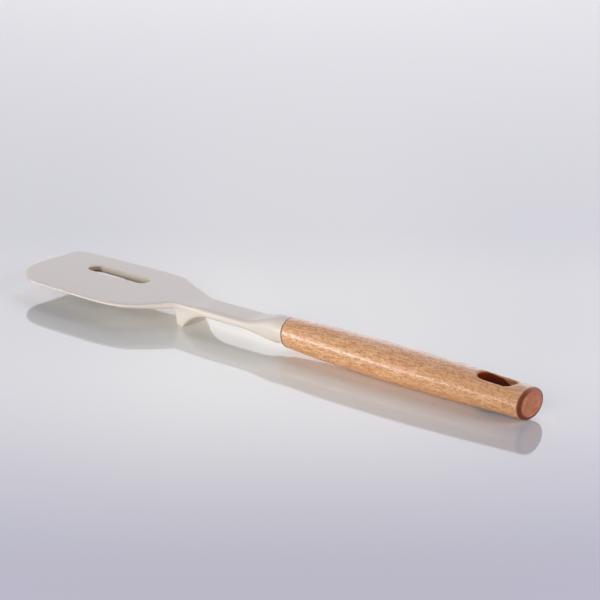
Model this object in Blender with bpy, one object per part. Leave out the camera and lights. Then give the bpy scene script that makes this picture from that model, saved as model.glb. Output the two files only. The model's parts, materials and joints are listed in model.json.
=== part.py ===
"""Pastry spatula: a slotted silicone blade with a neck and a rest foot, moulded over a nylon core,
on a beech handle. The tool lies along X with its blade's tip at -X and rests on its foot and on the
handle's belly, at Z = 0. Metres, +Z up, the origin under the middle of the whole tool.

Places along the head are measured from the blade's tip, and places along the handle from its front.
"""

import math

import bmesh
import bpy
from mathutils import Matrix, Vector

MM = 0.001

# Lengths along the tool
HEAD_LENGTH = 180.8 * MM
JOINT_GAP = 0.4 * MM
HANDLE_LENGTH = 154.3 * MM

# Head outline: the near side is -Y and the far side is +Y of the tool's axis
NEAR_TIP_HALF_WIDTH = 29.8 * MM
FAR_TIP_HALF_WIDTH = 27.1 * MM
NEAR_HALF_WIDTH = 32.2 * MM
FAR_HALF_WIDTH = 29.3 * MM
NEAR_CORNER_RADIUS = 25.0 * MM
FAR_CORNER_RADIUS = 5.5 * MM
NEAR_SIDE_LENGTH = 62.0 * MM
FAR_SIDE_LENGTH = 68.0 * MM
NEAR_SHOULDER = ((75.0 * MM, 31.7 * MM), (87.2 * MM, 28.7 * MM), (99.3 * MM, 18.6 * MM))
FAR_SHOULDER = ((79.5 * MM, 28.4 * MM), (89.4 * MM, 23.9 * MM), (111.6 * MM, 12.9 * MM))
FAR_SHOULDER_END = 121.0 * MM

# Blade section
BLADE_HEIGHT = 11.8 * MM
TIP_LIFT = 0.2 * MM
BLADE_THICKNESS = 2.0 * MM
TIP_THICKNESS = 1.8 * MM
TIP_EDGE_ROUND = 0.9 * MM
TIP_EDGE_FLAT = 0.35
BLADE_SQUARENESS = 34.0
BLADE_CROWN = 0.08
BELLY_AT_SLOT = 2.4 * MM
BELLY_AT_SHOULDER = 2.8 * MM

# Slot through the blade
SLOT_START = 27.3 * MM
SLOT_LENGTH = 43.6 * MM
SLOT_WIDTH = 8.5 * MM
SLOT_OFFSET = 8.1 * MM
SLOT_LIP = 0.6 * MM
SLOT_REACH = 5.0 * MM

# Rest foot and the arch behind it
FOOT_PLACE = 105.9 * MM
FOOT_FRONT_SWEEP = 2.2 * MM
FOOT_FLAT = 4.0 * MM
FOOT_HALF_WIDTH = 8.6 * MM
FOOT_TOP = 13.2 * MM
FOOT_MIDDLE = 12.0 * MM
FOOT_SHOULDER_BOTTOM = 9.3 * MM
FOOT_SQUARENESS = 18.0
ARCH_RADIUS = 24.0 * MM
ARCH_HEIGHT = 8.9 * MM

# Neck: the waist is a flat bar and the collar is where it has turned round to meet the handle
WAIST_START = 50.5 * MM
WAIST_END = 24.5 * MM
WAIST_HALF_WIDTH = 9.4 * MM
WAIST_TOP = 14.0 * MM
WAIST_MIDDLE = 11.4 * MM
WAIST_BOTTOM = 8.8 * MM
WAIST_SQUARENESS = 9.0
COLLAR_LENGTH = 3.0 * MM
COLLAR_STEP = 0.7 * MM
COLLAR_RAISE = 0.6 * MM

# Handle: half widths across Y, half heights across Z, at places along it
HANDLE_TILT = math.radians(0.65)
FRONT_HALF_WIDTH = 7.8 * MM
FRONT_HALF_HEIGHT = 8.0 * MM
GRIP_PLACE = 27.0 * MM
GRIP_HALF_WIDTH = 9.4 * MM
GRIP_HALF_HEIGHT = 9.1 * MM
BELLY_PLACE = 78.0 * MM
BELLY_HALF_WIDTH = 10.9 * MM
BELLY_HALF_HEIGHT = 9.6 * MM
HEEL_FROM_BUTT = 34.5 * MM
HEEL_HALF_WIDTH = 10.6 * MM
HEEL_HALF_HEIGHT = 9.1 * MM
BUTT_HALF_WIDTH = 10.3 * MM
BUTT_HALF_HEIGHT = 8.0 * MM
FRONT_EDGE_RADIUS = 0.9 * MM
BUTT_EDGE_SIDE = 2.8 * MM
BUTT_EDGE_TOP = 1.5 * MM
BUTT_EDGE_DEPTH = 1.0 * MM

# Hanging slot through the handle
HANGING_SLOT_FROM_BUTT = 9.5 * MM
HANGING_SLOT_LENGTH = 22.2 * MM
HANGING_SLOT_WIDTH = 9.4 * MM
HANGING_SLOT_EASING = 1.1 * MM

# Inner pieces
CLEARANCE = 0.3 * MM
CORE_SKIN = 0.7 * MM
CORE_BELLY_SHARE = 0.6
CORE_TIP_COVER = 9.0 * MM
CORE_EDGE_COVER = 2.2 * MM
CORE_BEAM_RADIUS = 3.2 * MM
CORE_BEAM_LENGTH = 14.0 * MM
CORE_SPIGOT_LENGTH = 4.0 * MM
SLOT_LINING = 1.2 * MM
WINDOW_RADIUS = 3.2 * MM
WINDOW_COLUMNS = 4
WINDOW_FIRST = 22.0 * MM
WINDOW_PITCH = 18.0 * MM
WINDOW_ROWS = (-16.5 * MM, -5.0 * MM, 19.4 * MM)
TANG_RADIUS = 1.75 * MM
TANG_IN_CORE = 13.0 * MM
TANG_IN_HANDLE = 52.0 * MM
TANG_TIP_CHAMFER = 0.7 * MM
TANG_GROOVES = 3
TANG_GROOVE_PITCH = 2.6 * MM
TANG_GROOVE_DEPTH = 0.25 * MM
TANG_GROOVE_FROM_END = 3.0 * MM
BOND_THICKNESS = 0.7 * MM

# Fineness of the faceted surfaces
ROUND = 2.0
HEAD_SEGMENTS = 36
HANDLE_SEGMENTS = 44
CORE_SEGMENTS = 20
ROUND_SEGMENTS = 24
SLOT_END_STEPS = 8
TANG_SEGMENTS = 14
WINDOW_SEGMENTS = 12
CORNER_STEPS = 7
EASING_STEPS = 4
EASING_TURN = math.radians(72)
BLADE_STEP = 10.0 * MM
SHOULDER_STEP = 2.6 * MM
ARCH_STEP = 2.0 * MM
WAIST_STEP = 4.2 * MM
FLARE_STEP = 2.0 * MM
HANDLE_STEP = 8.0 * MM
CORE_PLATE_STEP = 18.0 * MM
CORE_NECK_STEP = 5.0 * MM
LEAST_STEP = 0.12 * MM
LEAST_STRETCH_STEP = 0.4 * MM
LEAST_EDGE_STEP = 0.03 * MM
MERGE_DISTANCE = 0.001 * MM
SMOOTH_ANGLE = math.radians(32)
CUTTER_MARGIN = 3.0 * MM

# Places that follow from the sizes above
TOOL_LENGTH = HEAD_LENGTH + JOINT_GAP + HANDLE_LENGTH
TIP_X = -TOOL_LENGTH / 2
HANDLE_PLACE = HEAD_LENGTH + JOINT_GAP
HANDLE_X = TIP_X + HANDLE_PLACE
AXIS_Y = (NEAR_HALF_WIDTH - FAR_HALF_WIDTH) / 2
WAIST_FRONT = HEAD_LENGTH - WAIST_START
WAIST_REAR = HEAD_LENGTH - WAIST_END
COLLAR_PLACE = HEAD_LENGTH - COLLAR_LENGTH
FOOT_TOE = FOOT_PLACE + FOOT_FRONT_SWEEP
FOOT_HEEL = FOOT_TOE + FOOT_FLAT
ARCH_PLACE = FOOT_HEEL + math.sqrt(ARCH_RADIUS**2 - (ARCH_RADIUS - ARCH_HEIGHT) ** 2)
CORE_BEAM_PLACE = HEAD_LENGTH - CORE_BEAM_LENGTH
BORE_RADIUS = TANG_RADIUS + BOND_THICKNESS + 2 * CLEARANCE


def smooth_through(keys, place):
    """The height at a place of a smooth curve through (place, height) keys, which never overshoots them."""
    if place <= keys[0][0]:
        return keys[0][1]
    if place >= keys[-1][0]:
        return keys[-1][1]
    steps = [(b[0] - a[0], (b[1] - a[1]) / (b[0] - a[0])) for a, b in zip(keys, keys[1:])]
    slopes = [steps[0][1]]
    for (_, left), (_, right) in zip(steps, steps[1:]):
        slopes.append(2 * left * right / (left + right) if left * right > 0 else 0.0)
    slopes.append(steps[-1][1])
    i = max(n for n in range(len(steps)) if keys[n][0] <= place)
    width = steps[i][0]
    t = (place - keys[i][0]) / width
    return (
        (1 + 2 * t) * (1 - t) ** 2 * keys[i][1]
        + t * (1 - t) ** 2 * width * slopes[i]
        + t * t * (3 - 2 * t) * keys[i + 1][1]
        + t * t * (t - 1) * width * slopes[i + 1]
    )


def spread(start, end, step):
    """Places from start to end, evenly spaced at no more than step."""
    count = max(1, math.ceil((end - start) / step))
    return [start + (end - start) * i / count for i in range(count + 1)]


def apart(places, least):
    """The sorted places without those closer than least to the one before."""
    kept = []
    for place in sorted(places):
        if not kept or place - kept[-1] >= least:
            kept.append(place)
    return kept


def material(name, colour, roughness, metallic=0.0):
    made = bpy.data.materials.new(name)
    made.use_nodes = True
    shader = made.node_tree.nodes["Principled BSDF"]
    shader.inputs["Base Color"].default_value = (*colour, 1.0)
    shader.inputs["Roughness"].default_value = roughness
    shader.inputs["Metallic"].default_value = metallic
    made.diffuse_color = (*colour, 1.0)
    return made


def add_object(name, bm, finish=None, parent=None):
    """An object made from a bmesh. One without a finish is a cutter, which stays out of the model."""
    bmesh.ops.recalc_face_normals(bm, faces=bm.faces)
    mesh = bpy.data.meshes.new(name)
    bm.to_mesh(mesh)
    bm.free()
    made = bpy.data.objects.new(name, mesh)
    bpy.context.scene.collection.objects.link(made)
    made.parent = parent
    if finish is None:
        made.hide_render = True
        made.display_type = "WIRE"
    else:
        mesh.materials.append(finish)
        mesh.shade_smooth()
        mesh.set_sharp_from_angle(angle=SMOOTH_ANGLE)
    return made


def cut(target, *cutters):
    """Takes each cutter out of the target with a live Boolean."""
    for cutter in cutters:
        boolean = target.modifiers.new("cut_" + cutter.name, "BOOLEAN")
        boolean.operation = "DIFFERENCE"
        boolean.solver = "EXACT"
        boolean.object = cutter


def loft(rings):
    """A closed bmesh through rings of points that all have the same count."""
    bm = bmesh.new()
    loops = [[bm.verts.new(point) for point in ring] for ring in rings]
    for first, second in zip(loops, loops[1:]):
        for i in range(len(first)):
            j = (i + 1) % len(first)
            bm.faces.new((first[i], first[j], second[j], second[i]))
    bm.faces.new(loops[0])
    bm.faces.new(loops[-1])
    return bm


def section(x, near, far, top, middle, bottom, squareness, crown, belly, count):
    """One ring across X: a rounded section, widest at its middle height, with a belly underneath."""
    ring = []
    for i in range(count):
        angle = 2 * math.pi * i / count
        across, up = math.cos(angle), math.sin(angle)
        edge = min(1.0, abs(across))
        rise = math.sqrt(max(0.0, 1 - edge**squareness)) * (1 - crown * edge * edge)
        side = far if across > 0 else near
        if up > 0:
            z = middle + (top - middle) * rise
        else:
            z = middle - (middle - bottom) * rise - belly * (1 - edge * edge)
        ring.append((x, side * across, z))
    return ring


def stadium(start, length, half_width, across, steps):
    """Points round a slot with round ends, as (x, y) pairs, along X and centred on across."""
    centres = (start + length - half_width, start + half_width)
    points = []
    for end, centre in enumerate(centres):
        for i in range(steps + 1):
            angle = -math.pi / 2 + math.pi * (end + i / steps)
            x = centre + half_width * math.cos(angle)
            points.append((x, across + half_width * math.sin(angle)))
    return points


def half_width(place, corner, outline):
    """Half the head's width on one side: the blade's outline, then the neck and the collar."""
    rest = (
        (WAIST_FRONT, WAIST_HALF_WIDTH),
        (WAIST_REAR, WAIST_HALF_WIDTH),
        (COLLAR_PLACE, collar_half_width()),
        (HEAD_LENGTH, collar_half_width()),
    )
    width = smooth_through(outline + rest, place)
    if place < corner:
        width -= corner - math.sqrt(corner**2 - (corner - place) ** 2)
    return width


def near_half(place):
    start = ((0.0, NEAR_TIP_HALF_WIDTH), (NEAR_SIDE_LENGTH, NEAR_HALF_WIDTH))
    end = ((FOOT_TOE, FOOT_HALF_WIDTH),)
    return half_width(place, NEAR_CORNER_RADIUS, start + NEAR_SHOULDER + end)


def far_half(place):
    start = ((0.0, FAR_TIP_HALF_WIDTH), (FAR_SIDE_LENGTH, FAR_HALF_WIDTH))
    end = ((FAR_SHOULDER_END, WAIST_HALF_WIDTH),)
    return half_width(place, FAR_CORNER_RADIUS, start + FAR_SHOULDER + end)


def collar_half_width():
    return FRONT_HALF_WIDTH - COLLAR_STEP


def collar_half_height():
    return FRONT_HALF_HEIGHT - COLLAR_STEP


def handle_size(along, front, grip, belly, heel, butt):
    keys = (
        (0.0, front),
        (GRIP_PLACE, grip),
        (BELLY_PLACE, belly),
        (HANDLE_LENGTH - HEEL_FROM_BUTT, heel),
        (HANDLE_LENGTH, butt),
    )
    return smooth_through(keys, along)


def handle_half_width(along):
    return handle_size(
        along, FRONT_HALF_WIDTH, GRIP_HALF_WIDTH, BELLY_HALF_WIDTH, HEEL_HALF_WIDTH, BUTT_HALF_WIDTH
    )


def handle_half_height(along):
    return handle_size(
        along, FRONT_HALF_HEIGHT, GRIP_HALF_HEIGHT, BELLY_HALF_HEIGHT, HEEL_HALF_HEIGHT, BUTT_HALF_HEIGHT
    )


def axis_height_at_front():
    """The height of the tilted handle's axis at its front, with its belly just on the ground."""
    drops = (
        along * math.sin(HANDLE_TILT) + handle_half_height(along) * math.cos(HANDLE_TILT)
        for along in handle_places()
    )
    return max(drops)


def axis_height(place):
    """The height of the handle's axis, carried on into the head, at a place from the tip."""
    return AXIS_FRONT_HEIGHT - (place - HANDLE_PLACE) * math.tan(HANDLE_TILT)


def collar_middle(place):
    """The collar's middle sits a little above the handle's axis."""
    return axis_height(place) + COLLAR_RAISE


def blade_middle(place):
    return BLADE_HEIGHT + TIP_LIFT * max(0.0, 1 - place / FAR_SIDE_LENGTH)


def head_middle(place):
    keys = (
        (0.0, blade_middle(0.0)),
        (FAR_SIDE_LENGTH, BLADE_HEIGHT),
        (FOOT_TOE, FOOT_MIDDLE),
        (WAIST_FRONT, WAIST_MIDDLE),
        (WAIST_REAR, WAIST_MIDDLE),
        (HEAD_LENGTH, collar_middle(HEAD_LENGTH)),
    )
    return smooth_through(keys, place)


def head_top(place):
    keys = (
        (0.0, blade_middle(0.0) + TIP_THICKNESS / 2),
        (FAR_SIDE_LENGTH, BLADE_HEIGHT + BLADE_THICKNESS / 2),
        (FOOT_HEEL, FOOT_TOP),
        (WAIST_FRONT, WAIST_TOP),
        (WAIST_REAR, WAIST_TOP),
        (COLLAR_PLACE, collar_middle(COLLAR_PLACE) + collar_half_height()),
        (HEAD_LENGTH, collar_middle(HEAD_LENGTH) + collar_half_height()),
    )
    return smooth_through(keys, place)


def head_bottom(place):
    """The underside: the blade, the foot's front, the foot's flat, the arch and then the neck."""
    if place < FOOT_TOE:
        keys = (
            (0.0, blade_middle(0.0) - TIP_THICKNESS / 2),
            (FAR_SIDE_LENGTH, BLADE_HEIGHT - BLADE_THICKNESS / 2),
            (FOOT_PLACE, FOOT_SHOULDER_BOTTOM),
        )
        sweep = max(0.0, (place - FOOT_PLACE) / FOOT_FRONT_SWEEP)
        return smooth_through(keys, place) * math.sqrt(1 - sweep**2)
    if place <= FOOT_HEEL:
        return 0.0
    if place < ARCH_PLACE:
        rise = math.sqrt(ARCH_RADIUS**2 - (ARCH_PLACE - place) ** 2)
        return max(0.0, ARCH_HEIGHT - ARCH_RADIUS + rise)
    keys = (
        (ARCH_PLACE, ARCH_HEIGHT),
        (WAIST_REAR, WAIST_BOTTOM),
        (COLLAR_PLACE, collar_middle(COLLAR_PLACE) - collar_half_height()),
        (HEAD_LENGTH, collar_middle(HEAD_LENGTH) - collar_half_height()),
    )
    return smooth_through(keys, place)


def head_squareness(place):
    keys = (
        (FAR_SIDE_LENGTH, BLADE_SQUARENESS),
        (FOOT_PLACE, FOOT_SQUARENESS),
        (FOOT_HEEL, FOOT_SQUARENESS),
        (WAIST_FRONT, WAIST_SQUARENESS),
        (WAIST_REAR, WAIST_SQUARENESS),
        (COLLAR_PLACE, ROUND),
    )
    return smooth_through(keys, place)


def head_crown(place):
    """How much the section falls away towards its edges, which only the flat blade does."""
    return smooth_through(((FAR_SIDE_LENGTH, BLADE_CROWN), (FOOT_PLACE, 0.0)), place)


def blade_belly(place):
    """How much deeper the blade's underside is along its middle than at its edges."""
    keys = (
        (0.0, 0.0),
        (SLOT_START, BELLY_AT_SLOT),
        (FAR_SIDE_LENGTH, BELLY_AT_SHOULDER),
        (FOOT_PLACE, 0.0),
    )
    return smooth_through(keys, place)


def head_places():
    """Places along the head, close together where its shape turns."""
    places = []
    for radius in (NEAR_CORNER_RADIUS, FAR_CORNER_RADIUS, TIP_EDGE_ROUND):
        for i in range(CORNER_STEPS + 1):
            places.append(radius * (1 - math.cos(math.pi / 2 * i / CORNER_STEPS)))
    for i in range(CORNER_STEPS + 1):
        places.append(FOOT_PLACE + FOOT_FRONT_SWEEP * math.sin(math.pi / 2 * i / CORNER_STEPS))
    places = apart(places, LEAST_STEP)
    ends = (0.0, FOOT_TOE, FOOT_HEEL, COLLAR_PLACE, HEAD_LENGTH)
    stretches = (
        spread(NEAR_CORNER_RADIUS, FAR_SIDE_LENGTH, BLADE_STEP),
        spread(FAR_SIDE_LENGTH, FOOT_PLACE, SHOULDER_STEP),
        spread(FOOT_HEEL, ARCH_PLACE, ARCH_STEP),
        spread(ARCH_PLACE, WAIST_REAR, WAIST_STEP),
        spread(WAIST_REAR, COLLAR_PLACE, FLARE_STEP),
    )
    for stretch in stretches:
        places += [p for p in stretch if all(abs(p - q) > LEAST_STRETCH_STEP for q in places)]
    places = [p for p in places if all(p == e or abs(p - e) > LEAST_STEP for e in ends)]
    return sorted(set(places) | set(ends))


def tip_edge(place):
    """The share of the blade's thickness that is left where the tip's edge is rounded."""
    if place >= TIP_EDGE_ROUND:
        return 1.0
    round_share = math.sqrt(1 - (1 - place / TIP_EDGE_ROUND) ** 2)
    return TIP_EDGE_FLAT + (1 - TIP_EDGE_FLAT) * round_share


def head_section(place):
    middle = head_middle(place)
    share = tip_edge(place)
    return section(
        place,
        near_half(place),
        far_half(place),
        middle + (head_top(place) - middle) * share,
        middle,
        middle - (middle - head_bottom(place)) * share,
        head_squareness(place),
        head_crown(place),
        blade_belly(place),
        HEAD_SEGMENTS,
    )


def core_half(side_half, place):
    """Half the core's width on one side: the head's less its cover, then the beam's radius."""
    plate = side_half(min(place, WAIST_REAR)) - CORE_EDGE_COVER
    return smooth_through(((WAIST_REAR, plate), (CORE_BEAM_PLACE, CORE_BEAM_RADIUS)), place)


def core_top(place):
    plate = head_top(place) - CORE_SKIN
    beam = axis_height(place) + CORE_BEAM_RADIUS
    return plate + (beam - plate) * beam_share(place)


def core_bottom(place):
    """The core's underside: it thickens towards the foot, and over the foot it stays level."""
    keys = (
        (FAR_SIDE_LENGTH, head_bottom(min(place, FAR_SIDE_LENGTH)) + CORE_SKIN),
        (FOOT_PLACE, FOOT_SHOULDER_BOTTOM + CORE_SKIN),
        (ARCH_PLACE, ARCH_HEIGHT + CORE_SKIN),
        (WAIST_REAR, WAIST_BOTTOM + CORE_SKIN),
    )
    plate = smooth_through(keys, place)
    beam = axis_height(place) - CORE_BEAM_RADIUS
    return plate + (beam - plate) * beam_share(place)


def beam_share(place):
    """How far the core has turned from a plate into a round beam on the handle's axis."""
    return smooth_through(((WAIST_REAR, 0.0), (CORE_BEAM_PLACE, 1.0)), place)


def core_section(place, x, grow):
    squareness_keys = (
        (FOOT_PLACE, FOOT_SQUARENESS),
        (WAIST_FRONT, WAIST_SQUARENESS),
        (CORE_BEAM_PLACE, ROUND),
    )
    return section(
        x,
        core_half(near_half, place) + grow,
        core_half(far_half, place) + grow,
        core_top(place) + grow,
        (core_top(place) + core_bottom(place)) / 2,
        core_bottom(place) - grow,
        smooth_through(squareness_keys, place),
        0.0,
        blade_belly(place) * CORE_BELLY_SHARE,
        CORE_SEGMENTS,
    )


def core_loft(grow, rear):
    """The core's body, or its cavity when grown, as far back as a place from the tip."""
    places = []
    for i in range(CORNER_STEPS):
        turn = 1 - math.cos(math.pi / 2 * i / CORNER_STEPS)
        places.append(CORE_TIP_COVER + NEAR_CORNER_RADIUS * turn)
    places += spread(CORE_TIP_COVER + NEAR_CORNER_RADIUS, FAR_SIDE_LENGTH, CORE_PLATE_STEP)
    places += spread(FAR_SIDE_LENGTH, CORE_BEAM_PLACE, CORE_NECK_STEP)[1:]
    places += spread(CORE_BEAM_PLACE, rear, CORE_PLATE_STEP)[1:]
    shifted = (p - (grow if p == CORE_TIP_COVER else 0.0) for p in places)
    return loft([core_section(p, x, grow) for p, x in zip(places, shifted)])


def blade_slot_ring(height, margin):
    """The blade slot's outline at a height above the blade's middle, widened all round by a margin."""
    length = SLOT_LENGTH + 2 * margin
    points = stadium(SLOT_START - margin, length, SLOT_WIDTH / 2 + margin, SLOT_OFFSET, SLOT_END_STEPS)
    middle = head_middle(SLOT_START + SLOT_LENGTH / 2)
    return [(x, y, middle + height) for x, y in points]


def blade_slot_prism(name, margin, head_axis):
    rings = [blade_slot_ring(height, margin) for height in (-SLOT_REACH, CUTTER_MARGIN)]
    return add_object(name, loft(rings), parent=head_axis)


def blade_slot_cutter(head_axis):
    """The slot with an eased upper lip: its rings widen where they pass the blade's top face."""
    half = BLADE_THICKNESS / 2
    steps = (
        (-SLOT_REACH, 0.0),
        (half - SLOT_LIP, 0.0),
        (half, SLOT_LIP),
        (CUTTER_MARGIN, SLOT_LIP),
    )
    rings = [blade_slot_ring(height, margin) for height, margin in steps]
    return add_object("blade_slot", loft(rings), parent=head_axis)


def window_cutters(name, radius, head_axis):
    """The core's round bonding windows, one cutter a window, clear of the blade's slot."""
    cutters = []
    for column in range(WINDOW_COLUMNS):
        x = WINDOW_FIRST + column * WINDOW_PITCH
        for row, y in enumerate(WINDOW_ROWS):
            bm = bmesh.new()
            spot = Matrix.Translation(Vector((x, y, BLADE_HEIGHT)))
            bmesh.ops.create_cone(
                bm,
                cap_ends=True,
                segments=WINDOW_SEGMENTS,
                radius1=radius,
                radius2=radius,
                depth=2 * CUTTER_MARGIN,
                matrix=spot,
            )
            cutters.append(add_object(f"{name}_{column}_{row}", bm, parent=head_axis))
    return cutters


def turned(profile, segments):
    """A closed bmesh turned about X from (along, radius) pairs that start and end off the axis."""
    bm = bmesh.new()
    verts = [bm.verts.new((along, 0.0, radius)) for along, radius in profile]
    edges = [bm.edges.new(pair) for pair in zip(verts, verts[1:])]
    bmesh.ops.spin(
        bm,
        geom=verts + edges,
        cent=(0.0, 0.0, 0.0),
        axis=(1.0, 0.0, 0.0),
        angle=2 * math.pi,
        steps=segments,
        use_merge=True,
    )
    bmesh.ops.remove_doubles(bm, verts=bm.verts, dist=MERGE_DISTANCE)
    rims = [edge for edge in bm.edges if edge.is_boundary]
    if rims:
        bmesh.ops.holes_fill(bm, edges=rims, sides=segments)
    return bm


def make_silicone_head(head_axis):
    finish = material("cream_silicone", (0.76, 0.70, 0.62), 0.45)
    body = loft([head_section(place) for place in head_places()])
    head = add_object("silicone_head", body, finish, head_axis)
    hollow = core_loft(CLEARANCE, HEAD_LENGTH + CUTTER_MARGIN)
    cavity = add_object("core_cavity", hollow, parent=head_axis)
    cut(cavity, blade_slot_prism("slot_lining", SLOT_LINING, head_axis))
    cut(cavity, *window_cutters("window_plug", WINDOW_RADIUS - CLEARANCE, head_axis))
    cut(head, cavity, blade_slot_cutter(head_axis))
    return head


def make_nylon_core(head_axis, handle_axis):
    finish = material("glass_filled_nylon", (0.32, 0.31, 0.29), 0.5)
    core = add_object("nylon_core", core_loft(0.0, HANDLE_PLACE + CORE_SPIGOT_LENGTH), finish, head_axis)
    cut(core, blade_slot_prism("core_slot", SLOT_LINING + CLEARANCE, head_axis))
    cut(core, *window_cutters("bonding_window", WINDOW_RADIUS, head_axis))
    radius = TANG_RADIUS + CLEARANCE
    profile = ((-TANG_IN_CORE - CLEARANCE, radius), (CORE_SPIGOT_LENGTH + CUTTER_MARGIN, radius))
    cut(core, add_object("tang_socket", turned(profile, ROUND_SEGMENTS), parent=handle_axis))
    return core


def tang_profile():
    """The rod's outline: chamfered ends and a run of grooves near each of them."""
    front, rear = -TANG_IN_CORE, TANG_IN_HANDLE
    small = TANG_RADIUS - TANG_GROOVE_DEPTH
    profile = [(front, TANG_RADIUS - TANG_TIP_CHAMFER), (front + TANG_TIP_CHAMFER, TANG_RADIUS)]
    runs = (
        front + TANG_GROOVE_FROM_END,
        rear - TANG_GROOVE_FROM_END - (TANG_GROOVES - 1) * TANG_GROOVE_PITCH,
    )
    for start in runs:
        for i in range(TANG_GROOVES):
            centre = start + i * TANG_GROOVE_PITCH
            profile.append((centre - 2 * TANG_GROOVE_DEPTH, TANG_RADIUS))
            profile.append((centre - TANG_GROOVE_DEPTH, small))
            profile.append((centre + TANG_GROOVE_DEPTH, small))
            profile.append((centre + 2 * TANG_GROOVE_DEPTH, TANG_RADIUS))
    profile += [(rear - TANG_TIP_CHAMFER, TANG_RADIUS), (rear, TANG_RADIUS - TANG_TIP_CHAMFER)]
    return profile


def make_steel_tang(handle_axis):
    finish = material("stainless_steel", (0.60, 0.60, 0.62), 0.3, 1.0)
    return add_object("steel_tang", turned(tang_profile(), TANG_SEGMENTS), finish, handle_axis)


def make_epoxy_bond(handle_axis):
    finish = material("amber_epoxy", (0.55, 0.36, 0.14), 0.3)
    front = CORE_SPIGOT_LENGTH + CLEARANCE
    inner = TANG_RADIUS + CLEARANCE
    outer = inner + BOND_THICKNESS
    profile = (
        (front, inner),
        (TANG_IN_HANDLE, inner),
        (TANG_IN_HANDLE, outer),
        (front, outer),
        (front, inner),
    )
    return add_object("epoxy_bond", turned(profile, TANG_SEGMENTS), finish, handle_axis)


def handle_places():
    """Places along the handle, close together where its two ends are rounded."""
    places = []
    for i in range(EASING_STEPS + 1):
        share = 1 - math.cos(math.pi / 2 * i / EASING_STEPS)
        places += [FRONT_EDGE_RADIUS * share, HANDLE_LENGTH - BUTT_EDGE_DEPTH * share]
    places += spread(FRONT_EDGE_RADIUS, BELLY_PLACE, HANDLE_STEP)
    places += spread(BELLY_PLACE, HANDLE_LENGTH - BUTT_EDGE_DEPTH, HANDLE_STEP)
    return apart(places, LEAST_EDGE_STEP)


def handle_edge_loss(along, butt_edge):
    """How far the rounded front and butt edges draw the section in."""
    for radius, depth, reach in (
        (FRONT_EDGE_RADIUS, FRONT_EDGE_RADIUS, along),
        (butt_edge, BUTT_EDGE_DEPTH, HANDLE_LENGTH - along),
    ):
        if reach < depth:
            return radius * (1 - math.sqrt(1 - (1 - reach / depth) ** 2))
    return 0.0


def handle_section(along):
    width = handle_half_width(along) - handle_edge_loss(along, BUTT_EDGE_SIDE)
    height = handle_half_height(along) - handle_edge_loss(along, BUTT_EDGE_TOP)
    return section(along, width, width, height, 0.0, -height, ROUND, 0.0, 0.0, HANDLE_SEGMENTS)


def hanging_slot_cutter(handle_axis):
    """The hanging slot, with lips that follow the handle's curved top and underside."""
    start = HANDLE_LENGTH - HANGING_SLOT_FROM_BUTT - HANGING_SLOT_LENGTH
    steps = ROUND_SEGMENTS // 2

    def ring(angle, direction):
        margin = HANGING_SLOT_EASING * (1 - math.cos(angle))
        sink = HANGING_SLOT_EASING * (1 - math.sin(angle))
        length = HANGING_SLOT_LENGTH + 2 * margin
        points = stadium(start - margin, length, HANGING_SLOT_WIDTH / 2 + margin, 0.0, steps)
        made = []
        for x, y in points:
            lean = math.sqrt(1 - (y / handle_half_width(x)) ** 2)
            made.append((x, y, direction * (handle_half_height(x) * lean - sink)))
        return made

    angles = [EASING_TURN * i / EASING_STEPS for i in range(EASING_STEPS + 1)]
    outline = ring(angles[-1], 1)
    reach = BELLY_HALF_HEIGHT + CUTTER_MARGIN
    rings = [[(x, y, -reach) for x, y, _ in outline]]
    rings += [ring(angle, -1) for angle in reversed(angles)]
    rings += [ring(angle, 1) for angle in angles]
    rings.append([(x, y, reach) for x, y, _ in outline])
    return add_object("hanging_slot", loft(rings), parent=handle_axis)


def bore_cutter(handle_axis):
    """The handle's stepped bore: a counterbore for the core's spigot, then the tang's bore."""
    counterbore = CORE_BEAM_RADIUS + CLEARANCE
    shoulder = CORE_SPIGOT_LENGTH + CLEARANCE
    profile = (
        (-CUTTER_MARGIN, counterbore),
        (shoulder, counterbore),
        (shoulder, BORE_RADIUS),
        (TANG_IN_HANDLE + CLEARANCE, BORE_RADIUS),
    )
    return add_object("handle_bore", turned(profile, ROUND_SEGMENTS), parent=handle_axis)


def make_beech_handle(handle_axis):
    finish = material("oiled_beech", (0.66, 0.38, 0.20), 0.4)
    rings = [handle_section(along) for along in handle_places()]
    handle = add_object("beech_handle", loft(rings), finish, handle_axis)
    cut(handle, bore_cutter(handle_axis), hanging_slot_cutter(handle_axis))
    return handle


def add_axis(name, location, tilt):
    """An empty that carries what is placed along it."""
    axis = bpy.data.objects.new(name, None)
    axis.location = location
    axis.rotation_euler = (0.0, tilt, 0.0)
    bpy.context.scene.collection.objects.link(axis)
    return axis


AXIS_FRONT_HEIGHT = axis_height_at_front()


def main():
    for old in list(bpy.data.objects):
        bpy.data.objects.remove(old, do_unlink=True)
    head_axis = add_axis("head_axis", (TIP_X, AXIS_Y, 0.0), 0.0)
    handle_axis = add_axis("handle_axis", (HANDLE_X, AXIS_Y, AXIS_FRONT_HEIGHT), HANDLE_TILT)
    make_silicone_head(head_axis)
    make_nylon_core(head_axis, handle_axis)
    make_steel_tang(handle_axis)
    make_epoxy_bond(handle_axis)
    make_beech_handle(handle_axis)


main()
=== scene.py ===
"""Looks for the pastry spatula: a soft moulded skin for the silicone head, a sanded skin for the beech
handle, the finish of every piece, and the pale glossy floor and soft lamps of the studio."""

import json
import math

import bpy

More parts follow.
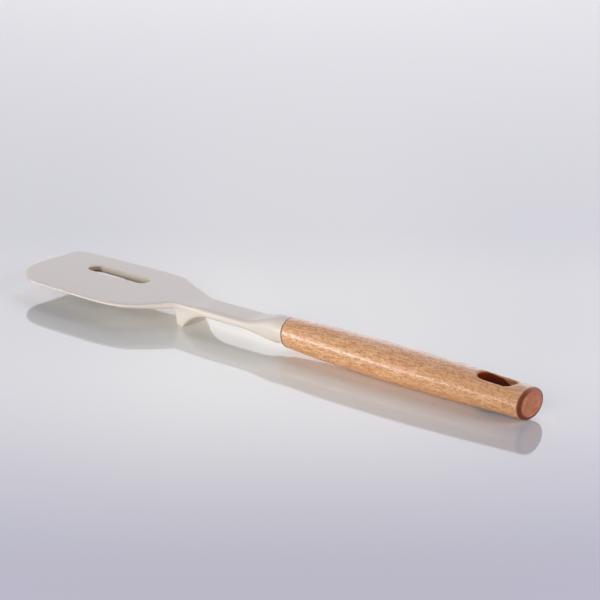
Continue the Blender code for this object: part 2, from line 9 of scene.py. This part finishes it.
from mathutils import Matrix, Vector

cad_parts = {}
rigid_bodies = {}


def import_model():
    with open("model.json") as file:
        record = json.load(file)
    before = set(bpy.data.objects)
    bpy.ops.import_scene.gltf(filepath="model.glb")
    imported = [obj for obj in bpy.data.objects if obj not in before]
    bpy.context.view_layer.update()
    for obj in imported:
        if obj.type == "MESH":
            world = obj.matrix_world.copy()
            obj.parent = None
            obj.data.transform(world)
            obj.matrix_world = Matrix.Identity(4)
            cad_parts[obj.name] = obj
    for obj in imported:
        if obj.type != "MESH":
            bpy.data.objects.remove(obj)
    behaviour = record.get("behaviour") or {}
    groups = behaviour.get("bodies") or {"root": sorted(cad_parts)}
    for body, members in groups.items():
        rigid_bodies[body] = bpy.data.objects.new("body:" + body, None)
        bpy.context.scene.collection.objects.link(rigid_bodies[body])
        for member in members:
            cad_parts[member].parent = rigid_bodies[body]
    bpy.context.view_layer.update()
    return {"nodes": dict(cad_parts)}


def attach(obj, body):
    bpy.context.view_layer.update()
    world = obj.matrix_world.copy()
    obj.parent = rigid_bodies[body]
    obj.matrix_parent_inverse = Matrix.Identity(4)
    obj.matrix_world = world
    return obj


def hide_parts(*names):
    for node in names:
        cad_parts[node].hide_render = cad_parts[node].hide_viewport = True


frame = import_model()
bpy.ops.object.select_all(action="DESELECT")

MM = 0.001

# The handle's axis, which the wood's grain follows, and the places of its finish and its painted shade
# along it
HANDLE_FRONT = (13.45 * MM, 1.45 * MM, 10.57 * MM)
HANDLE_TILT = math.radians(0.65)
HANDLE_LENGTH = 154.3 * MM
BUTT_HALF_WIDTH = 10.3 * MM
BUTT_HALF_HEIGHT = 8.0 * MM
BUTT_EASING = 1.0 * MM
HANGING_SLOT_START = 122.6 * MM
HANGING_SLOT_END = 144.8 * MM
HANGING_SLOT_HALF_WIDTH = 4.7 * MM
HANGING_SLOT_SHADE_TOP = 8.8 * MM
HANGING_SLOT_SHADE_BOTTOM = -8.2 * MM

# The blade's slot, whose wall inside is painted paler and warmer as if lit, with painted shade in brown at
# its bottom and front end
BLADE_TOP = 12.8 * MM
BLADE_SLOT_START = -140.45 * MM
BLADE_SLOT_END = -96.85 * MM
BLADE_SLOT_Y = 9.55 * MM
BLADE_SLOT_HALF_WIDTH = 4.25 * MM

# Fineness of the skins
MERGE = 0.001 * MM
HEAD_VOXEL = 0.46 * MM
HEAD_SMOOTHING = 3
HANDLE_VOXEL = 0.52 * MM
HANDLE_SMOOTHING = 6
REAR_RIM_DEPTH = 0.05 * MM
REAR_RIM_FACING = 0.9
STUB_LENGTH = 2.0 * MM
SMOOTH_ANGLE = math.radians(40)

# The studio
CAMERA_PLACE = Vector((885.51, -979.22, 451.2)) * MM
CAMERA_AIM = Vector((-40.24, 70.11, 0.0)) * MM
CAMERA_LENS = 162
CAMERA_SENSOR = 36
FLOOR_SIZE = 12.0
FLOOR_TURN = math.radians(41.42)
# The floor's colour is painted: shade that is dark and mauve at its front, a pool of light brightest under
# the spatula, and a little duller behind it
FLOOR_FRONT_PAINTED_SHADE = (0.30, 0.28, 0.35)
FLOOR_PAINTED_LIGHT_POOL = (1.0, 1.0, 0.88)
FLOOR_FAR_TONE = (0.84, 0.84, 0.78)
FLOOR_FRONT_END = -0.31
FLOOR_LIT_START = -0.02
FLOOR_LIT_END = 0.08
FLOOR_FAR_START = 0.23
FLOOR_GLOSS = 0.15
FLOOR_GLOW = (0.055, 0.06, 0.085)
# painted shade on the floor's sides
FLOOR_PAINTED_SIDE_SHADE = (0.30, 0.30, 0.50)
BACKDROP = (0.73, 0.73, 0.75)
AMBIENT = (0.90, 0.92, 1.0)
AMBIENT_STRENGTH = 0.06
WARM = (1.0, 0.985, 0.98)
COOL = (0.94, 0.92, 1.0)
MIDDLE = (0.0, 0.0, 0.01)

# Each lamp's place, the point that it faces, its width and height, its watts and its colour
SOFTBOXES = {
    "low_softbox": ((-0.58, -0.60, 0.045), MIDDLE, (0.55, 0.08), 3.5, WARM),
    "front_softbox": ((0.30, -0.80, 0.40), MIDDLE, (0.60, 0.40), 2.3, WARM),
    "strip_softbox": ((1.0, -1.0, 0.092), MIDDLE, (0.77, 0.184), 5.7, WARM),
    "rear_softbox": ((-0.30, 0.60, 0.90), MIDDLE, (0.80, 0.60), 1.9, COOL),
    "right_softbox": ((0.95, 0.25, 0.45), (0.1, 0.0, 0.0), (0.50, 0.50), 3.7, COOL),
    "back_panel": ((-0.84, 0.97, 0.45), (-0.04, 0.07, 0.10), (1.50, 0.86), 5.9, COOL),
}
# The lamps that glossy surfaces show
MIRRORED = ("low_softbox", "back_panel")


def activate(piece):
    bpy.ops.object.select_all(action="DESELECT")
    piece.select_set(True)
    bpy.context.view_layer.objects.active = piece


def select_faces(piece, wanted):
    """Enters edit mode on a piece with only the wanted faces selected."""
    activate(piece)
    bpy.ops.object.mode_set(mode="EDIT")
    bpy.ops.mesh.select_mode(type="FACE")
    bpy.ops.mesh.select_all(action="DESELECT")
    bpy.ops.object.mode_set(mode="OBJECT")
    for face in piece.data.polygons:
        face.select = wanted(face)
    bpy.ops.object.mode_set(mode="EDIT")


def copy_of(node, name):
    """A piece with a copy of a CAD node's mesh, its loose triangles merged."""
    piece = bpy.data.objects.new(name, frame["nodes"][node].data.copy())
    bpy.context.scene.collection.objects.link(piece)
    piece.data.materials.clear()
    activate(piece)
    bpy.ops.mesh.customdata_custom_splitnormals_clear()
    bpy.ops.object.mode_set(mode="EDIT")
    bpy.ops.mesh.select_all(action="SELECT")
    bpy.ops.mesh.remove_doubles(threshold=MERGE)
    bpy.ops.object.mode_set(mode="OBJECT")
    return piece


def apply(piece, name, kind, **settings):
    """Adds a modifier with its settings and applies it."""
    activate(piece)
    modifier = piece.modifiers.new(name, kind)
    for setting, value in settings.items():
        setattr(modifier, setting, value)
    bpy.ops.object.modifier_apply(modifier=modifier.name)


def fair(piece, voxel, passes):
    """Gives a piece one even skin and rounds its edges, as moulding or sanding does."""
    apply(piece, "even_skin", "REMESH", mode="VOXEL", voxel_size=voxel)
    apply(piece, "soft_edges", "SMOOTH", factor=0.5, iterations=passes)


def finish_mesh(piece, node, finish):
    """Shades a piece, gives it its finish and puts it in its CAD node's place."""
    activate(piece)
    bpy.ops.object.shade_smooth_by_angle(angle=SMOOTH_ANGLE)
    piece.data.materials.clear()
    piece.data.materials.append(finish)
    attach(piece, "root")
    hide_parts(node)


def select_open_rims():
    """Selects the open rims of the piece that is in edit mode."""
    bpy.ops.mesh.select_mode(type="EDGE")
    bpy.ops.mesh.select_all(action="DESELECT")
    bpy.ops.mesh.select_non_manifold()


def remove_rear_rim(head, rear):
    """Deletes the flat ring that joins the head's outside to the core's cavity."""

    def on_rim(face):
        return face.normal.x > REAR_RIM_FACING and face.center.x > rear - REAR_RIM_DEPTH

    select_faces(head, on_rim)
    bpy.ops.mesh.delete(type="FACE")
    bpy.ops.object.mode_set(mode="OBJECT")


def split_off_outside(head):
    """Makes the outside a piece of its own and leaves the cavity's walls."""
    tip = min(face.center.x for face in head.data.polygons)
    select_faces(head, lambda face: face.center.x <= tip + MERGE)
    bpy.ops.mesh.select_linked()
    bpy.ops.mesh.separate(type="SELECTED")
    bpy.ops.object.mode_set(mode="OBJECT")
    outside = next(piece for piece in bpy.context.selected_objects if piece != head)
    outside.name = "silicone_skin"
    return outside


def close_with_stub(skin):
    """Closes the outside's rear with a short stub, because only a closed skin can be remeshed."""
    activate(skin)
    bpy.ops.object.mode_set(mode="EDIT")
    select_open_rims()
    bpy.ops.mesh.edge_face_add()
    bpy.ops.mesh.extrude_region_move(TRANSFORM_OT_translate={"value": (STUB_LENGTH, 0.0, 0.0)})
    bpy.ops.mesh.select_all(action="SELECT")
    bpy.ops.mesh.normals_make_consistent(inside=False)
    bpy.ops.object.mode_set(mode="OBJECT")


def cut_off_stub(skin, rear):
    activate(skin)
    bpy.ops.object.mode_set(mode="EDIT")
    bpy.ops.mesh.select_all(action="SELECT")
    bpy.ops.mesh.bisect(plane_co=(rear, 0.0, 0.0), plane_no=(1.0, 0.0, 0.0), clear_outer=True)
    bpy.ops.object.mode_set(mode="OBJECT")


def close_onto_cavity(skin, cavity):
    """Joins the cavity's walls to the outside and bridges their two open rims."""
    cavity.select_set(True)
    bpy.ops.object.join()
    bpy.ops.object.mode_set(mode="EDIT")
    select_open_rims()
    bpy.ops.mesh.bridge_edge_loops()
    bpy.ops.object.mode_set(mode="OBJECT")


def make_silicone_skin():
    """The head with soft edges outside and its own walls round the core."""
    cavity = copy_of("silicone_head", "core_cavity")
    rear = max(vertex.co.x for vertex in cavity.data.vertices)
    remove_rear_rim(cavity, rear)
    skin = split_off_outside(cavity)
    close_with_stub(skin)
    fair(skin, HEAD_VOXEL, HEAD_SMOOTHING)
    cut_off_stub(skin, rear)
    close_onto_cavity(skin, cavity)
    finish_mesh(skin, "silicone_head", silicone_finish())


def make_beech_skin():
    """The handle with its edges sanded round."""
    skin = copy_of("beech_handle", "beech_skin")
    fair(skin, HANDLE_VOXEL, HANDLE_SMOOTHING)
    finish_mesh(skin, "beech_handle", beech_finish())


class Value:
    """A shader socket that adds Math nodes when it is used in an expression."""

    def __init__(self, nodes, socket):
        self.nodes = nodes
        self.socket = socket

    def math(self, operation, first, second=0.0):
        return self.nodes.node("ShaderNodeMath", {"operation": operation}, {0: first, 1: second})

    def at_least(self, other):
        """The larger of the two."""
        return self.math("MAXIMUM", self, other)

    def __add__(self, other):
        return self.math("ADD", self, other)

    def __radd__(self, other):
        return self.math("ADD", other, self)

    def __sub__(self, other):
        return self.math("SUBTRACT", self, other)

    def __rsub__(self, other):
        return self.math("SUBTRACT", other, self)

    def __mul__(self, other):
        return self.math("MULTIPLY", self, other)

    def __rmul__(self, other):
        return self.math("MULTIPLY", other, self)

    def __truediv__(self, other):
        return self.math("DIVIDE", self, other)

    def __pow__(self, other):
        return self.math("POWER", self, other)

    def __abs__(self):
        return self.math("ABSOLUTE", self)


class Nodes:
    """A node tree, with one way to add any node."""

    def __init__(self, tree):
        self.tree = tree

    def put(self, node, socket, value):
        """Sets a node's socket to a value or links it to one."""
        if isinstance(value, Value):
            self.tree.links.new(value.socket, node.inputs[socket])
        else:
            node.inputs[socket].default_value = value

    def node(self, kind, settings=(), values=(), output=0):
        """Adds a node, sets it up and returns one of its outputs."""
        made = self.tree.nodes.new(kind)
        for setting, value in dict(settings).items():
            setattr(made, setting, value)
        for socket, value in dict(values).items():
            self.put(made, socket, value)
        return Value(self, made.outputs[output])


class Finish(Nodes):
    """A material with one main shader."""

    def __init__(self, name, colour, roughness, values=()):
        self.material = bpy.data.materials.new(name)
        self.material.use_nodes = True
        super().__init__(self.material.node_tree)
        self.shader = self.tree.nodes["Principled BSDF"]
        self.set("Base Color", (*colour, 1.0))
        self.set("Roughness", roughness)
        for socket, value in dict(values).items():
            self.set(socket, value)

    def set(self, socket, value):
        self.put(self.shader, socket, value)

    def place(self, location=(0.0, 0.0, 0.0), rotation=(0.0, 0.0, 0.0), scale=(1.0, 1.0, 1.0)):
        """Object coordinates measured from a place, turned and scaled."""
        coordinates = self.node("ShaderNodeTexCoord", output="Object")
        values = {"Vector": coordinates, "Location": location, "Rotation": rotation, "Scale": scale}
        return self.node("ShaderNodeMapping", {"vector_type": "TEXTURE"}, values)

    def parts(self, vector):
        """The three numbers of a vector."""
        split = self.node("ShaderNodeSeparateXYZ", values={"Vector": vector}).socket.node
        return [Value(self, socket) for socket in split.outputs]

    def noise(self, vector, scale, detail, roughness=0.5):
        values = {"Vector": vector, "Scale": scale, "Detail": detail, "Roughness": roughness}
        return self.node("ShaderNodeTexNoise", values=values)

    def drawn_noise(self, vector, per_metre, detail, roughness=0.5):
        """Noise drawn out along the wood, by its grains per metre along, across and up."""
        drawn = self.node("ShaderNodeVectorMath", {"operation": "MULTIPLY"}, {0: vector, 1: per_metre})
        return self.noise(drawn, 1.0, detail, roughness)

    def step(self, value, low, high):
        """A soft step from 0 at low to 1 at high."""
        settings = {"interpolation_type": "SMOOTHSTEP"}
        return self.node("ShaderNodeMapRange", settings, {0: value, 1: low, 2: high})

    def mix(self, share, first, second):
        """A colour between two colours, which are the Mix node's inputs 6 and 7."""
        values = {0: share, 6: colour_of(first), 7: colour_of(second)}
        return self.node("ShaderNodeMix", {"data_type": "RGBA"}, values, output=2)

    def slot_share(self, along, across, half_length, half_width, fade):
        """1 inside a slot with round ends, and 0 from a little past its rim."""
        past = (abs(along) - (half_length - half_width)).at_least(0.0)
        reach = (past ** 2.0 + across ** 2.0) ** 0.5
        return 1.0 - self.step(reach, half_width, half_width + fade)

    def bump(self, height, strength, distance):
        values = {"Height": height, "Strength": strength, "Distance": distance}
        self.set("Normal", self.node("ShaderNodeBump", values=values))


def colour_of(value):
    return value if isinstance(value, Value) else (*value, 1.0)


def silicone_finish():
    """Satin cream silicone with a faint cloudiness and the grain of a blasted mould."""
    finish = Finish("cream_silicone_moulded", (0.78, 0.70, 0.61), 0.42)
    place = finish.place()
    cloud = finish.noise(place, 35.0, 3.0)
    grain = finish.noise(place, 2400.0, 2.0)
    cream = finish.mix(cloud, (0.76, 0.685, 0.61), (0.80, 0.73, 0.66))
    finish.set("Base Color", blade_slot_colour(finish, place, cream))
    finish.set("Roughness", 0.37 + 0.07 * cloud + 0.04 * grain)
    finish.bump(grain, 0.12, 0.05 * MM)
    return finish.material


def blade_slot_colour(finish, place, cream):
    """The head's cream, with painted light and shade inside the slot: the wall painted paler and warmer as
    if lit, and brown painted shade at its bottom and its front end.
    """
    x, y, z = finish.parts(place)
    middle = (BLADE_SLOT_START + BLADE_SLOT_END) / 2
    half_length = (BLADE_SLOT_END - BLADE_SLOT_START) / 2
    depth = BLADE_TOP - z
    inside = finish.slot_share(x - middle, y - BLADE_SLOT_Y, half_length, BLADE_SLOT_HALF_WIDTH, 0.25 * MM)
    inside = inside * finish.step(depth, 0.2 * MM, 0.9 * MM)
    # painted shade at the bottom of the slot's wall and at its front end
    painted_foot_shade = finish.step(depth, 2.25 * MM, 2.75 * MM)
    painted_front_end_shade = 1.0 - finish.step(x - BLADE_SLOT_START, 2.0 * MM, 6.0 * MM)
    # the wall inside the slot is painted paler and warmer, as if lit
    wall = finish.mix(inside, cream, (1.0, 0.87, 0.77))
    return finish.mix(inside * (0.5 * painted_foot_shade + 0.75 * painted_front_end_shade), wall, (0.20, 0.13, 0.07))


def beech_finish():
    """Oiled beech: fibres, dense short ray flecks, end grain, a darker line at both ends that is partly
    painted shade, and painted shade in the hanging slot.
    """
    finish = Finish("oiled_beech_sanded", (0.66, 0.36, 0.16), 0.4, {"Coat Roughness": 0.3})
    place = finish.place(HANDLE_FRONT, (0.0, HANDLE_TILT, 0.0))
    along, across, up = finish.parts(place)
    fibres = finish.drawn_noise(place, (170.0, 1000.0, 1000.0), 4.0, 0.65)
    flecks = finish.drawn_noise(place, (600.0, 1700.0, 1700.0), 3.0, 0.65)
    cloud = finish.drawn_noise(place, (14.0, 90.0, 90.0), 2.0)
    fleck = finish.step(flecks, 0.52, 0.62)
    # the dark line at the front edge: darker end grain with painted shade of the gap at the joint
    front_grain_and_shade = 1.0 - finish.step(along + 0.15 * up, 0.6 * MM, 1.5 * MM)
    butt = butt_share(finish, along)
    slot = hanging_slot_shade(finish, along, across, up)

    wood = finish.mix(finish.step(fibres, 0.36, 0.62), (0.64, 0.30, 0.13), (0.93, 0.58, 0.33))
    wood = finish.mix(0.4 * cloud, wood, (0.74, 0.36, 0.15))
    wood = finish.mix(0.35 * finish.step(along, 50.0 * MM, 150.0 * MM), wood, (0.46, 0.21, 0.08))
    wood = finish.mix(0.8 * fleck, wood, (0.46, 0.15, 0.04))
    wood = finish.mix(0.95 * front_grain_and_shade, wood, (0.08, 0.03, 0.01))
    wood = finish.mix(butt, wood, end_grain(finish, place, across, up))
    # painted shade inside the hanging slot
    wood = finish.mix(slot, wood, (0.16, 0.02, 0.005))
    finish.set("Base Color", wood)
    finish.set("Coat Weight", 0.55 * (1.0 - butt) * (1.0 - slot) * (1.0 - front_grain_and_shade))
    finish.set("Roughness", 0.33 + 0.12 * fibres + 0.1 * fleck + 0.4 * slot + 0.4 * front_grain_and_shade)
    finish.bump(fibres * 0.5 - fleck * 0.5 + flecks * 0.6, 1.0, 0.15 * MM)
    return finish.material


def butt_share(finish, along):
    """Where the handle's side gives way to the end grain of its butt."""
    return finish.step(along, HANDLE_LENGTH - 2.2 * MM, HANDLE_LENGTH - BUTT_EASING)


def end_grain(finish, place, across, up):
    """Red-brown end grain with paler patches, an olive heart and a dark rim: darker end grain at the rim,
    with painted shade towards the bottom and near side and painted light towards the top and far side.
    """
    rim = ((across / BUTT_HALF_WIDTH) ** 2.0 + (up / BUTT_HALF_HEIGHT) ** 2.0) ** 0.5
    pores = finish.drawn_noise(place, (300.0, 1500.0, 1500.0), 3.0, 0.6)
    patches = finish.drawn_noise(place, (60.0, 260.0, 260.0), 2.0)
    grain = finish.mix(finish.step(pores, 0.35, 0.65), (0.44, 0.125, 0.05), (0.57, 0.195, 0.10))
    grain = finish.mix(0.6 * finish.step(patches, 0.5, 0.65), grain, (0.64, 0.27, 0.17))
    heart = 1.0 - finish.step(rim, 0.10, 0.38)
    grain = finish.mix(0.6 * heart, grain, (0.46, 0.21, 0.10))
    edge = finish.step(rim, 0.74, 0.84)
    # the rim is painted lighter towards the top and far side, as if lit, and darkest towards the bottom
    # and near side, as painted shade
    painted_lit_side = finish.step(across + up, 0.0, 10.0 * MM)
    return finish.mix(edge, grain, finish.mix(painted_lit_side, (0.15, 0.03, 0.01), (0.40, 0.16, 0.12)))


def hanging_slot_shade(finish, along, across, up):
    """Painted shade, dark red-brown, on the walls of the hanging slot, below a wedge of plain wood that
    widens towards the butt.
    """
    past_middle = along - (HANGING_SLOT_START + HANGING_SLOT_END) / 2
    half_length = (HANGING_SLOT_END - HANGING_SLOT_START) / 2 + 0.4 * MM
    inside = finish.slot_share(past_middle, across, half_length, HANGING_SLOT_HALF_WIDTH, 0.5 * MM)
    wedge = 0.14 * (along - HANGING_SLOT_START) + 0.45 * past_middle.at_least(0.0)
    below_top = finish.step(HANGING_SLOT_SHADE_TOP - up - wedge, 0.0, 1.2 * MM)
    above_bottom = finish.step(up - HANGING_SLOT_SHADE_BOTTOM, 0.0, 1.2 * MM)
    return inside * below_top * above_bottom


def nylon_finish():
    """Glass-filled nylon: grey with pale fibre ends."""
    finish = Finish("nylon_glass_filled", (0.32, 0.31, 0.29), 0.55)
    speckle = finish.noise(finish.place(), 1800.0, 3.0)
    fibre_ends = finish.step(speckle, 0.5, 0.7)
    finish.set("Base Color", finish.mix(fibre_ends, (0.30, 0.29, 0.27), (0.42, 0.41, 0.39)))
    finish.set("Roughness", 0.45 + 0.2 * speckle)
    finish.bump(speckle, 0.2, 0.05 * MM)
    return finish.material


def steel_finish():
    """Turned stainless steel, with fine rings round the rod."""
    finish = Finish("steel_turned", (0.60, 0.60, 0.62), 0.3, {"Metallic": 1.0})
    rings = finish.noise(finish.place(scale=(0.0002, 0.02, 0.02)), 1.0, 3.0)
    finish.set("Base Color", finish.mix(rings, (0.54, 0.54, 0.56), (0.66, 0.66, 0.68)))
    finish.set("Roughness", 0.22 + 0.2 * rings)
    finish.bump(rings, 0.15, 0.02 * MM)
    return finish.material


def epoxy_finish():
    """Cured amber adhesive with small bubbles."""
    finish = Finish("epoxy_cured", (0.55, 0.36, 0.14), 0.3)
    bubbles = finish.noise(finish.place(), 1200.0, 2.0)
    bubble = finish.step(bubbles, 0.45, 0.7)
    finish.set("Base Color", finish.mix(bubble, (0.50, 0.32, 0.12), (0.64, 0.45, 0.22)))
    finish.set("Roughness", 0.22 + 0.2 * bubbles)
    finish.bump(bubbles, 0.2, 0.05 * MM)
    return finish.material


def finish_inner_pieces():
    """The pieces inside the head and the handle keep their CAD solids and get a finish each."""
    finishes = {"nylon_core": nylon_finish, "steel_tang": steel_finish, "epoxy_bond": epoxy_finish}
    for node, make_finish in finishes.items():
        mesh = frame["nodes"][node].data
        mesh.materials.clear()
        mesh.materials.append(make_finish())


def floor_finish():
    """Pale lavender acrylic: a lit surface under a clear gloss, darker towards the front with painted
    shade, with a painted pool of light under the spatula and painted shade to the sides.
    """
    finish = Finish("floor_acrylic", (0.8, 0.8, 0.84), 0.6, {"Specular IOR Level": 0.0})
    side, depth, _ = finish.parts(finish.place(rotation=(0.0, 0.0, FLOOR_TURN)))
    past_front = finish.step(depth, FLOOR_FRONT_END, FLOOR_LIT_START)
    past_lit = finish.step(depth, FLOOR_LIT_END, FLOOR_FAR_START)
    shade = finish.mix(past_front, FLOOR_FRONT_PAINTED_SHADE, FLOOR_PAINTED_LIGHT_POOL)
    shade = finish.mix(past_lit, shade, FLOOR_FAR_TONE)
    # painted shade on the floor to either side of the middle, fading out towards the back
    painted_side_shade = finish.step(abs(side - 0.01), 0.03, 0.15) * (1.0 - finish.step(depth, 0.0, 0.7))
    finish.set("Base Color", finish.mix(0.22 * painted_side_shade, shade, FLOOR_PAINTED_SIDE_SHADE))
    seen = finish.node("ShaderNodeLightPath", output="Is Camera Ray")
    finish.set("Emission Color", finish.mix(seen, (0.0, 0.0, 0.0), FLOOR_GLOW))
    finish.set("Emission Strength", 1.0)
    mirror_values = {"Base Color": (0.95, 0.95, 0.96, 1.0), "Metallic": 1.0, "Roughness": 0.06}
    mirror = finish.node("ShaderNodeBsdfPrincipled", values=mirror_values)
    lit = Value(finish, finish.shader.outputs["BSDF"])
    surface = finish.node("ShaderNodeMixShader", values={0: FLOOR_GLOSS, 1: lit, 2: mirror})
    finish.put(finish.tree.nodes["Material Output"], "Surface", surface)
    return finish.material


def make_floor():
    bpy.ops.mesh.primitive_plane_add(size=FLOOR_SIZE)
    floor = bpy.context.object
    floor.name = "studio_floor"
    floor.data.materials.append(floor_finish())


def make_world():
    """Soft light from all round. The camera and the reflections see the backdrop's colour."""
    world = bpy.data.worlds.new("studio")
    world.use_nodes = True
    world.node_tree.nodes.clear()
    nodes = Nodes(world.node_tree)
    seen = nodes.node("ShaderNodeLightPath", output="Is Camera Ray")
    mirrored = nodes.node("ShaderNodeLightPath", output="Is Glossy Ray")
    light = {"Color": (*AMBIENT, 1.0), "Strength": AMBIENT_STRENGTH}
    ambient = nodes.node("ShaderNodeBackground", values=light)
    backdrop = nodes.node("ShaderNodeBackground", values={"Color": (*BACKDROP, 1.0)})
    shaders = {0: seen.at_least(mirrored), 1: ambient, 2: backdrop}
    surface = nodes.node("ShaderNodeMixShader", values=shaders)
    out = world.node_tree.nodes.new("ShaderNodeOutputWorld")
    nodes.put(out, "Surface", surface)
    bpy.context.scene.world = world


def add_softbox(name, place, aim, size, watts, colour):
    """A rectangular lamp that faces a point and is never seen itself."""
    bpy.ops.object.light_add(type="AREA", location=place)
    lamp = bpy.context.object
    lamp.name = name
    lamp.data.shape = "RECTANGLE"
    lamp.data.size, lamp.data.size_y = size
    lamp.data.energy = watts
    lamp.data.color = colour
    lamp.rotation_euler = (Vector(aim) - Vector(place)).to_track_quat("-Z", "Y").to_euler()
    lamp.visible_camera = False
    lamp.visible_glossy = name in MIRRORED


def light_studio():
    """Low lamps in front, lamps overhead and to the right, and a tall panel that the floor mirrors."""
    for name, settings in SOFTBOXES.items():
        add_softbox(name, *settings)


def add_camera():
    bpy.ops.object.camera_add(location=CAMERA_PLACE)
    camera = bpy.context.object
    camera.rotation_euler = (CAMERA_AIM - CAMERA_PLACE).to_track_quat("-Z", "Y").to_euler()
    camera.data.lens = CAMERA_LENS
    camera.data.sensor_width = CAMERA_SENSOR
    camera.data.clip_start = 0.01
    bpy.context.scene.camera = camera


make_silicone_skin()
make_beech_skin()
finish_inner_pieces()
make_floor()
make_world()
light_studio()
add_camera()
bpy.context.scene.view_settings.view_transform = "Standard"
